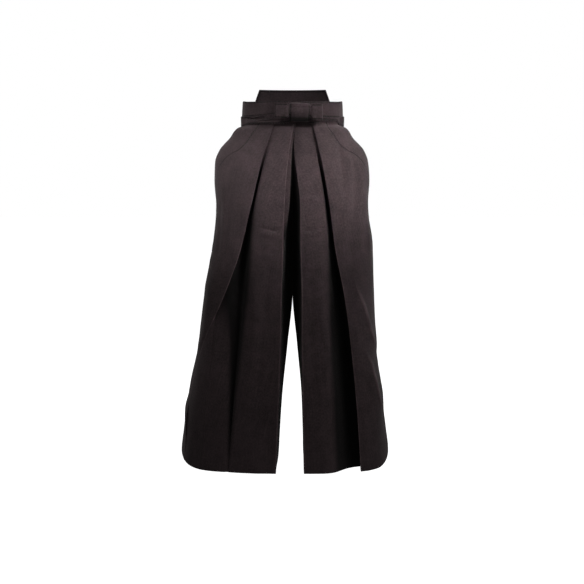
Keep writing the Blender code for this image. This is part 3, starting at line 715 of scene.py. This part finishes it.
def slit_stitching(levels, leg, face, grid, parts):
    """The slit's stitched line, its outward directions, and each point's distance from it."""
    stitched = [(stitch_line(v, leg, face), v.z) for v in levels if v.z > SLIT_Z[-1] - STITCH_PAST]
    line = np.array([[x, y, hang(x, y, z)] for ((x, y), _), z in stitched])
    outward = np.array([direction for (_, direction), _ in stitched])
    seam, rows = np.full(grid.shape[:2], FAR), len(line) + 3
    outer = (parts == 0) & (np.arange(len(parts)) >= EDGE_POINTS)
    distance, _ = distance_to_path(grid[:rows][:, outer], line)
    beyond = np.abs(grid[: len(line)][:, outer][..., 0]) < np.abs(line[:, :1])
    distance[: len(line)][beyond] *= -1
    seam[:rows, outer] = distance
    return line, outward, seam


def build_panel(name, leg, face, folds):
    counts = fine_counts(leg, face, folds)
    levels = [Level(z) for z in ROWS]
    rows = [panel_section(level, leg, face, folds, counts) for level in levels]
    parts, pressed = rows[0][1], rows[0][2]
    flat = np.array([r[0] for r in rows])
    # the depth in a pleat, which the material turns into painted shade
    sunk = np.array([r[3] for r in rows]) * (np.cumsum(pressed) > 0)  # the outer faces aren't in a pleat
    z = np.broadcast_to(ROWS[:, None], flat.shape[:2])
    grid = np.dstack([flat, hang(flat[..., 0], flat[..., 1], z)])

    across = np.array([lengths_along(row) for row in grid])
    folds_at = across[:, pressed == 1]
    gap = np.abs(across[:, :, None] - folds_at[:, None, :]).min(axis=2)
    shows = [f.name in (OUTER, CENTRE, SEAT) for f in folds if f.kind == HARD]
    # the folds that show get a painted highlight on their edges
    highlit_folds = folds_at.reshape(len(grid), len(shows), -1)[:, shows].reshape(len(grid), -1)
    pale = np.abs(across[:, :, None] - highlit_folds[:, None, :]).min(axis=2) + EDGE_HIGHLIGHT_AWAY

    normal = surface_normals(grid)
    facing = np.sign((normal[..., 1] * face).mean(axis=0) + 1e-9)
    facing[:EDGE_POINTS] = facing[EDGE_POINTS + 2]
    outward = normal * facing[None, :, None]
    run_names = [f.name for f in folds]
    away, pale = soft_creases(name, grid, parts, run_names, gap, pale)
    shown = parts <= run_names.index(SEAT if face == BACK else CENTRE)
    away += drape(grid, leg, face, gap) * shown[None, :]
    away *= eased(np.abs(across - across[:, EDGE_POINTS : EDGE_POINTS + 1]) / SIDE_CLEAR)

    line, line_out, seam = slit_stitching(levels, leg, face, grid, parts)
    grid = grid + outward * away[..., None]
    hem = eased((HEM_Z + HEM_DEPTH + HEM_STEP[0] - z) / HEM_STEP[1])
    thick = CLOTH + (HEM_CLOTH - CLOTH) * hem
    thick[-1] = CLOTH * HEM_EDGE
    piece = shell("cloth_" + name, grid, thick, seam=seam, crease=pale, sunk=sunk)
    return piece, (line + line_out * STITCH_RAISED, line_out)


# The panels, with the flat cloth each was cut from: its width and length in metres, and the share kept.
PANELS = (
    ("front_right", RIGHT, FRONT, RIGHT_FRONT, 0.66, 0.98, 0.80),
    ("front_left", LEFT, FRONT, LEFT_FRONT, 0.60, 0.98, 0.78),
    ("back_right", RIGHT, BACK, RIGHT_BACK, 0.50, 0.98, 0.75),
    ("back_left", LEFT, BACK, LEFT_BACK, 0.50, 0.98, 0.75),
)


def build_panels():
    for name, leg, face, folds, width, length, share in PANELS:
        piece, run = build_panel(name, leg, face, folds)
        side, which = name.split("_")
        place(piece, "cotton_panels", f"{side}_panel_{which}")
        thread = stitches(name, "cotton_panels", [run])


def build_gusset():
    levels = [Level(z) for z in np.linspace(GUSSET_POINT_Z, CROTCH_Z - 3, 22)]

    def row(level, leg, x, z):
        """Points from the front seam to the back one."""
        tips = [(face, *seam_tip(level, leg, face)) for face in (FRONT, BACK)]
        front, back = (face * (level.away(out, leg, face) - deep) for face, out, deep in tips)
        return [(x, y, z) for y in np.linspace(front + GUSSET_GAP, back - GUSSET_GAP, 12)]

    right, left = (
        [row(v, leg, leg * seam_tip(v, leg, FRONT)[0], v.z) for v in levels] for leg in (RIGHT, LEFT)
    )
    rows = [*right, row(Level(CROTCH_Z), RIGHT, 0, CROTCH_Z - 0.5), *left[::-1]]
    piece = place(shell("cloth_gusset", np.array(rows), CLOTH), "cotton_panels", "gusset")


# ---- the ties

WAIST = Level(RINGS[0].z)
Strap = namedtuple("Strap", "name front_off back_off thick width side_width front_z side_z back_z side_bulge")
WAISTBAND = Strap("front_waistband", 2.2, -11.5, 2.4, 26, 20.3, -31, -28.4, -4, 7)
SECOND_TURN = Strap("front_tie_turn", 4.9, -8.2, 2.0, 24, 29, -15, -29.5, -2, 8)
BACK_TIE = Strap("back_tie", 7.4, 2.0, 2.0, 43, 43, 3.5, 5, 3, 0)
STRAP_TURN = (0, 70, 100, 180)
# Where a strap crosses the others, stands off the hip, has its side width, and is pulled, in degrees.
CROSS_OVER = (86, 113)
BULGE, BESIDE = (72, 112, 14, 24), (50, 128, 22, 22)
PULLED_TO, PULL_FADE = 82, 20

# How the ties are pulled across the front: places along it, and the heights of their two edges there.
PULLED = {
    "front_waistband": (
        (-130, -18, -38), (-98, -24, -36), (-72, -23, -37), (-45, -21, -38),
        (0, -18, -37), (50, -18, -35), (90, -18, -29), (130, -18, -29),
    ),
    "front_tie_turn": (
        (-128, -12, -37), (-98, -26, -31.5), (-72, -21.5, -34.5), (-45, -17.5, -36),
        (0, -6, -32), (60, -4, -26), (130, -8, -27),
    ),
    "back_tie": (
        (-130, 25, -18.5), (-98, 24, -16), (-62, 25, -13), (-42, 25, -10.5),
        (0, 24.5, -13), (60, 23.5, -19), (130, 24.5, -19.5),
    ),
}
LEAN, UNEVEN = 3.0, 0.4  # the back tie's lower edge stands out at the sides, and all are a little uneven
# Where the second turn is rolled beside the bow, and its ridge and trough: how far up, how wide, how high.
TWIST_X = (-96, -28, 16, 14)
TWIST = ((0.78, 0.17, 2.6), (0.46, 0.12, -1.2))
TIE_END = 52  # degrees from straight back, under the board
SEAM_GAP = 0.3  # between the two back ties, inside the bow
STRAP_ROWS, WRAP_ROWS = 21, 27
EDGE_STITCH = 3.0  # from a tie's edge to its stitching


def waist_point(degrees, z, off):
    """A point off the waist's own ring: 0 degrees is straight ahead, 90 the wearer's left."""
    leg = LEFT if degrees >= 0 else RIGHT
    face = FRONT if abs(degrees) <= 90 else BACK
    from_face = abs(degrees) if face == FRONT else 180 - abs(degrees)
    (out, away), (a, b) = WAIST.points(from_face, leg, face)
    return (leg * (out + a * off), face * (away + b * off), z)


def strap_section(strap, degrees, shares):
    """How far each point across a strap is off the ring, and its height."""
    round_it = abs(degrees)
    change = eased_over(round_it, *CROSS_OVER)
    beside = hump(round_it, *BESIDE)
    off = strap.front_off + (strap.back_off - strap.front_off) * change
    off = off + strap.side_bulge * hump(round_it, *BULGE)
    z = smooth_at(STRAP_TURN, (strap.front_z, strap.side_z, strap.side_z, strap.back_z), round_it)
    width = strap.width + (strap.side_width - strap.width) * beside
    top, bottom = z + width / 2, z - width / 2
    x = waist_point(degrees, 0, 0)[0]
    xs, tops, bottoms = zip(*PULLED[strap.name])
    pulled = eased((PULLED_TO - round_it) / PULL_FADE)
    top += (smooth_at(xs, tops, x) - top) * pulled
    bottom += (smooth_at(xs, bottoms, x) - bottom) * pulled
    up = shares + 0.5
    if strap is BACK_TIE:
        off = off + LEAN * beside * (1 - up)
    off = off + UNEVEN * np.sin(x / 11 + strap.thick) * np.cos(3 * up + x / 40)
    if strap is SECOND_TURN and degrees > -PULLED_TO:
        for at, wide, height in TWIST:
            off = off + height * hump(x, *TWIST_X) * np.exp(-(((up - at) / wide) ** 2))
    return off, bottom + (top - bottom) * up


def rounded_edge(rows, thick):
    """The thickness of each row of a strap, less towards its two edges."""
    return thick * (0.35 + 0.65 * (1 - np.linspace(-1, 1, rows)[:, None] ** 10))


def from_border(width, count):
    """How far points across a width are from the nearer border."""
    return (1 - np.abs(np.linspace(-1, 1, count))) * width / 2


def tie_piece(name, node, grid, width, thick, closed=True, sunk=None):
    """A piece of a tie on the frame, with distances from the stitching near its edges."""
    rows, columns = grid.shape[:2]
    seam = np.broadcast_to((from_border(width, rows) - EDGE_STITCH)[:, None], (rows, columns))
    piece = shell(name, grid, rounded_edge(rows, thick), closed, seam, sunk=sunk)
    return place(piece, "cotton_ties", node)


def build_strap(piece_name, node, strap, angles):
    closed = strap is not BACK_TIE
    shares = np.linspace(0.5, -0.5, STRAP_ROWS)
    grid = np.zeros((STRAP_ROWS, len(angles), 3))
    for j, degrees in enumerate(angles):
        offs, heights = strap_section(strap, degrees, shares)
        grid[:, j] = [waist_point(degrees, z, off) for off, z in zip(offs, heights)]
    piece = tie_piece(piece_name, node, grid, strap.width, strap.thick, closed)
    outward = surface_normals(grid, closed)
    if ((grid - grid.mean(axis=(0, 1))) * outward).sum() < 0:
        outward = -outward
    runs = []
    for side in (1, -1):
        share = (0.5 - EDGE_STITCH / strap.width) * side
        k = round((0.5 - share) * (STRAP_ROWS - 1))
        runs.append((grid[k] + outward[k] * strap.thick / 2, outward[k]))
    thread = stitches(piece_name, "cotton_ties", runs)


def build_ties():
    all_round = np.linspace(-180, 180, 240, endpoint=False)
    meet = WAIST.degrees(BOW_CENTRE, LEFT)
    half_gap = math.degrees(SEAM_GAP / 2 / RINGS[0].front)
    right = np.linspace(TIE_END - 180, meet - half_gap, 130)
    left = np.linspace(meet + half_gap, 180 - TIE_END, 110)
    build_strap("tie_waistband", "front_waistband", WAISTBAND, all_round)
    build_strap("tie_second_turn", "front_tie_turn", SECOND_TURN, all_round)
    build_strap("tie_back_right", "back_tie_right", BACK_TIE, right)
    build_strap("tie_back_left", "back_tie_left", BACK_TIE, left)


BOARD_LOW, BOARD_HIGH = -22, 62
BOARD_HALF_LOW, BOARD_HALF_HIGH = 62, 44  # degrees from straight back
BOARD_OFF, BOARD_THICK = 6.2, 4.0
BOARD_WIDTH, BOARD_STITCH = 200.0, 5  # its width is about that along the curve


def build_board():
    rows, columns = 26, 60
    high = BOARD_HIGH - BOARD_LOW
    grid = np.zeros((rows, columns, 3))
    for i, share in enumerate(np.linspace(1, 0, rows)):
        half = BOARD_HALF_LOW + (BOARD_HALF_HIGH - BOARD_HALF_LOW) * share
        for j, degrees in enumerate(np.linspace(-half, half, columns)):
            grid[i, j] = waist_point(180 - degrees, BOARD_LOW + high * share, BOARD_OFF)
    down = np.linspace(-1, 1, rows)[:, None] ** 14
    side = np.linspace(-1, 1, columns)[None, :] ** 24
    thick = BOARD_THICK * (0.3 + 0.7 * (1 - np.maximum(down, side)))
    from_edge = np.minimum(from_border(high, rows)[:, None], from_border(BOARD_WIDTH, columns)[None, :])
    piece = shell("board", grid, thick, seam=from_edge - BOARD_STITCH)
    place(piece, "cotton_board", "back_board")


# ---- the bow

BOW_CLOTH, BOW_GAP, BOW_CENTRE = 2.4, 0.5, 17
BOW_RIGHT, BOW_LEFT = -41, 69
BOW_HEIGHT_RIGHT, BOW_HEIGHT_LEFT = 39, 43
BOW_Z, BOW_DROOP, BOW_STAND = -1.5, 4, 5
BOW_HALF_DEPTH, BOW_FOLD_INSET, BOW_ROUND = 6.2, 3.0, 0.8
BOW_SQUEEZE = 0.45  # how much narrower the folds are in the wrap
BOW_HELD, BOW_RELEASE = 29.5, 4  # how far from the middle the wrap holds them, and over what it lets go
BOW_FULL, BOW_PRESSED = 0.3, 0.55  # how much fuller in the middle, and thinner under the wrap
BOW_SHADE_RIGHT, BOW_SHADE_LEFT, WRAP_SHADE = 19, 11, 22  # painted shade, as dark as the cloth at this depth in a pleat
FOLD_THICK, WRAP_THICK = 2.0, 2.2
WRAP_WIDTH, WRAP_Z = 48, -4.5
WRAP_EDGE_IN, WRAP_EDGE_LOW, WRAP_LEAN = 2.4, 0.06, 1.5  # its edges are drawn in and lower
WRAP_HALF_DEPTH = BOW_HALF_DEPTH + BOW_CLOTH + BOW_GAP
BOW_OFF = BACK_TIE.front_off + BACK_TIE.thick / 2 + BOW_GAP + BOW_CLOTH / 2 + WRAP_HALF_DEPTH

# The wrap seen from its side, as (up, forward): full above, and turned under below.
WRAP_PROFILE = (
    (22.5, -1.5), (21.5, 5), (16.5, 8.8), (8, 9.7), (0, 9.4), (-5, 7.4), (-11, 3), (-18, -2.6), (-24.5, -7.4),
    (-22, -9.1), (-10, -9.1), (4, -9.1), (16, -8.6), (21.5, -6),
)
# Soft folds of the bow and the wrap: where along it, how high, how wide and tall, and how far out.
LOOP_PINCHES = (
    (-36, 6, 4, 20, 0.8), (-22, -3, 3, 16, -0.9), (-14, 8, 3, 12, 0.9),
    (48, 4, 3, 18, 0.8), (55, -16, 3, 7, -2.2), (61, 10, 4, 14, 0.7),
)
WRAP_PINCHES = (
    (-1, 8, 2.6, 22, -1.0), (6, 4, 3.4, 18, 0.7), (24, 10, 2.4, 16, -1.1), (31, 0, 3.4, 18, 0.8),
    (17, 12, 30, 2.6, -1.2), (17, 18, 30, 3.0, 0.8),
)


def bow_point(along, off, z):
    stand = BOW_STAND * ((along - BOW_CENTRE) / (BOW_LEFT - BOW_CENTRE)) ** 2
    return waist_point(WAIST.degrees(along, LEFT), z, off + stand)


def pinched(pinches, x, z):
    """How far soft folds move the bow's cloth outward."""
    return sum(
        depth * math.exp(-(((x - along) / wide) ** 2) - ((z - up) / tall) ** 2)
        for along, up, wide, tall, depth in pinches
    )


def flat_loop(half_long, half_deep, roundness, turns=8, steps=40):
    """The outline of a flattened loop about the origin, as (along, across) pairs."""
    made = []
    radius = half_deep * roundness
    for end in (1, -1):
        for side in (-1, 1):
            for k in range(turns + 1):
                turn = math.radians(90 * k / turns)
                ahead, aside = (math.sin(turn), math.cos(turn))[::-side]
                along = half_long - radius + radius * ahead
                made.append((end * along, end * side * (half_deep - radius + radius * aside)))
        for k in range(1, steps):
            made.append((end * (half_long - radius) * (1 - 2 * k / steps), end * half_deep))
    return made


def build_loops():
    middle, half = (BOW_LEFT + BOW_RIGHT) / 2, (BOW_LEFT - BOW_RIGHT) / 2
    for name, inset, cut in (("bow_outer", 0.0, (0.040, 0.23)), ("bow_inner", BOW_FOLD_INSET, (0.037, 0.21))):
        outline = flat_loop(half - 1.6 * inset, BOW_HALF_DEPTH - inset, BOW_ROUND)
        grid = np.zeros((STRAP_ROWS, len(outline), 3))
        sunk = np.zeros(grid.shape[:2])
        for j, (along, across) in enumerate(outline):
            x = middle + along
            share = (x - BOW_RIGHT) / (BOW_LEFT - BOW_RIGHT)
            held = eased((BOW_HELD - abs(x - BOW_CENTRE)) / BOW_RELEASE)
            height = BOW_HEIGHT_RIGHT + (BOW_HEIGHT_LEFT - BOW_HEIGHT_RIGHT) * share - inset
            height = height * (1 - BOW_SQUEEZE * held)
            # painted shade: the loops are drawn darker where the wrap holds them
            sunk[:, j] = held * (BOW_SHADE_RIGHT if x < BOW_CENTRE else BOW_SHADE_LEFT)
            for i, place_up in enumerate(np.linspace(0.5, -0.5, STRAP_ROWS)):
                up = place_up * height
                full = 1 + BOW_FULL * (1 - (2 * place_up) ** 2) - BOW_PRESSED * held
                off = across * full + (pinched(LOOP_PINCHES, x, up) if across > 0 else 0)
                grid[i, j] = bow_point(x, BOW_OFF + off, BOW_Z - BOW_DROOP * share + up)
        piece = tie_piece(name, name + "_fold", grid, BOW_HEIGHT_RIGHT - inset, FOLD_THICK, sunk=sunk)


def build_wrap():
    numbers = np.linspace(0, len(WRAP_PROFILE), 96, endpoint=False)
    outline = closed_curve(np.array(WRAP_PROFILE, float), numbers)
    grid = np.zeros((WRAP_ROWS, len(outline), 3))
    # painted shade on the wrap's lower part, where it turns under
    under = eased((-4 - outline[:, 0]) / 16) * eased((outline[:, 1] + 9.5) / 2)
    sunk = np.broadcast_to(WRAP_SHADE * under, grid.shape[:2])
    for i, aside in enumerate(np.linspace(-WRAP_WIDTH / 2, WRAP_WIDTH / 2, WRAP_ROWS)):
        x = BOW_CENTRE + aside
        edge = abs(aside / (WRAP_WIDTH / 2)) ** 5
        for j, (up, forward) in enumerate(outline):
            front = eased((forward + 6) / 8)
            off = forward + front * (pinched(WRAP_PINCHES, x, up) - WRAP_EDGE_IN * edge)
            z = WRAP_Z + up * (1 - WRAP_EDGE_LOW * edge) - WRAP_LEAN * aside / WRAP_WIDTH
            grid[i, j] = bow_point(x, BOW_OFF + off, z)
    piece = tie_piece("bow_knot", "bow_wrap", grid, WRAP_WIDTH, WRAP_THICK, sunk=sunk)


# ---- the photo studio

FLOOR_Z, FLOOR_HALF = -1.06, 14.0


def shown_strength(tree, socket, lighting, shown):
    """A white that gives little light to the object but is seen as plain white."""
    seen = tree.nodes.new("ShaderNodeLightPath").outputs["Is Camera Ray"]
    tree.links.new(graded(tree, seen, (0, 1), (lighting, shown)), socket)


def build_stage():
    mesh = bpy.data.meshes.new("floor")
    corners = [(x * FLOOR_HALF, y * FLOOR_HALF, FLOOR_Z) for x, y in ((-1, -1), (1, -1), (1, 1), (-1, 1))]
    mesh.from_pydata(corners, [], [(0, 1, 2, 3)])
    floor = new_object("floor", mesh)
    grey = {"Base Color": (0.5, 0.5, 0.5, 1), "Roughness": 1.0, "Emission Color": (1, 1, 1, 1)}
    paper, tree, shader = new_material("paper", grey)
    shown_strength(tree, shader.inputs["Emission Strength"], 0.05, 0.98)
    floor.data.materials.append(paper)


def aim(made, at, toward):
    made.location = at
    made.rotation_euler = (Vector(toward) - Vector(at)).to_track_quat("-Z", "Y").to_euler()


# The lights: where each is, what it points at, its two sides, its power and its spread. The narrow ones give
# the soft pools of light on the upper legs.
LAMPS = (
    ("key_left", (1.65, -1.9, 1.3), (0.19, -0.12, -0.10), (0.4, 0.3), 1.12, 10),
    ("key_right", (-1.65, -1.9, 1.3), (-0.30, -0.12, -0.06), (0.4, 0.3), 0.66, 10),
    ("side_left", (2.4, -1.1, -0.3), (0.24, -0.06, -0.56), (0.4, 0.2), 0.12, 10),
    ("side_right", (-2.4, -1.1, -0.3), (-0.27, -0.05, -0.64), (0.4, 0.2), 0.04, 10),
    ("fill_left", (1.65, -1.9, 0.5), (0.0, 0, -0.5), (1.2, 1.2), 4.6, 90),
    ("back_left", (1.8, 2.4, 0.9), (0, 0, -0.4), (1.6, 1.6), 22, 180),
    ("back_right", (-1.8, 2.4, 0.9), (0, 0, -0.4), (1.6, 1.6), 22, 180),
)


def build_lights():
    world = bpy.context.scene.world = bpy.data.worlds.new("studio")
    world.use_nodes = True
    background = world.node_tree.nodes["Background"]
    background.inputs["Color"].default_value = (1, 1, 1, 1)
    shown_strength(world.node_tree, background.inputs["Strength"], 0.18, 1.0)
    for name, at, toward, size, power, spread in LAMPS:
        light = bpy.data.lights.new(name, "AREA")
        light.shape = "RECTANGLE"
        light.size, light.size_y = size
        light.energy, light.spread = power, math.radians(spread)
        aim(new_object(name, light), at, toward)


def build_camera():
    scene = bpy.context.scene
    camera = bpy.data.cameras.new("camera")
    camera.lens, camera.sensor_width = 79.2, 36
    camera.shift_x = -0.5 / 584
    scene.camera = new_object("camera", camera)
    aim(scene.camera, (0, -3.6, -0.1), (0, 0, -0.505))
    scene.view_settings.view_transform = "Standard"


build_camera()
build_panels()
build_gusset()
build_ties()
build_board()
build_loops()
build_wrap()
build_stage()
build_lights()
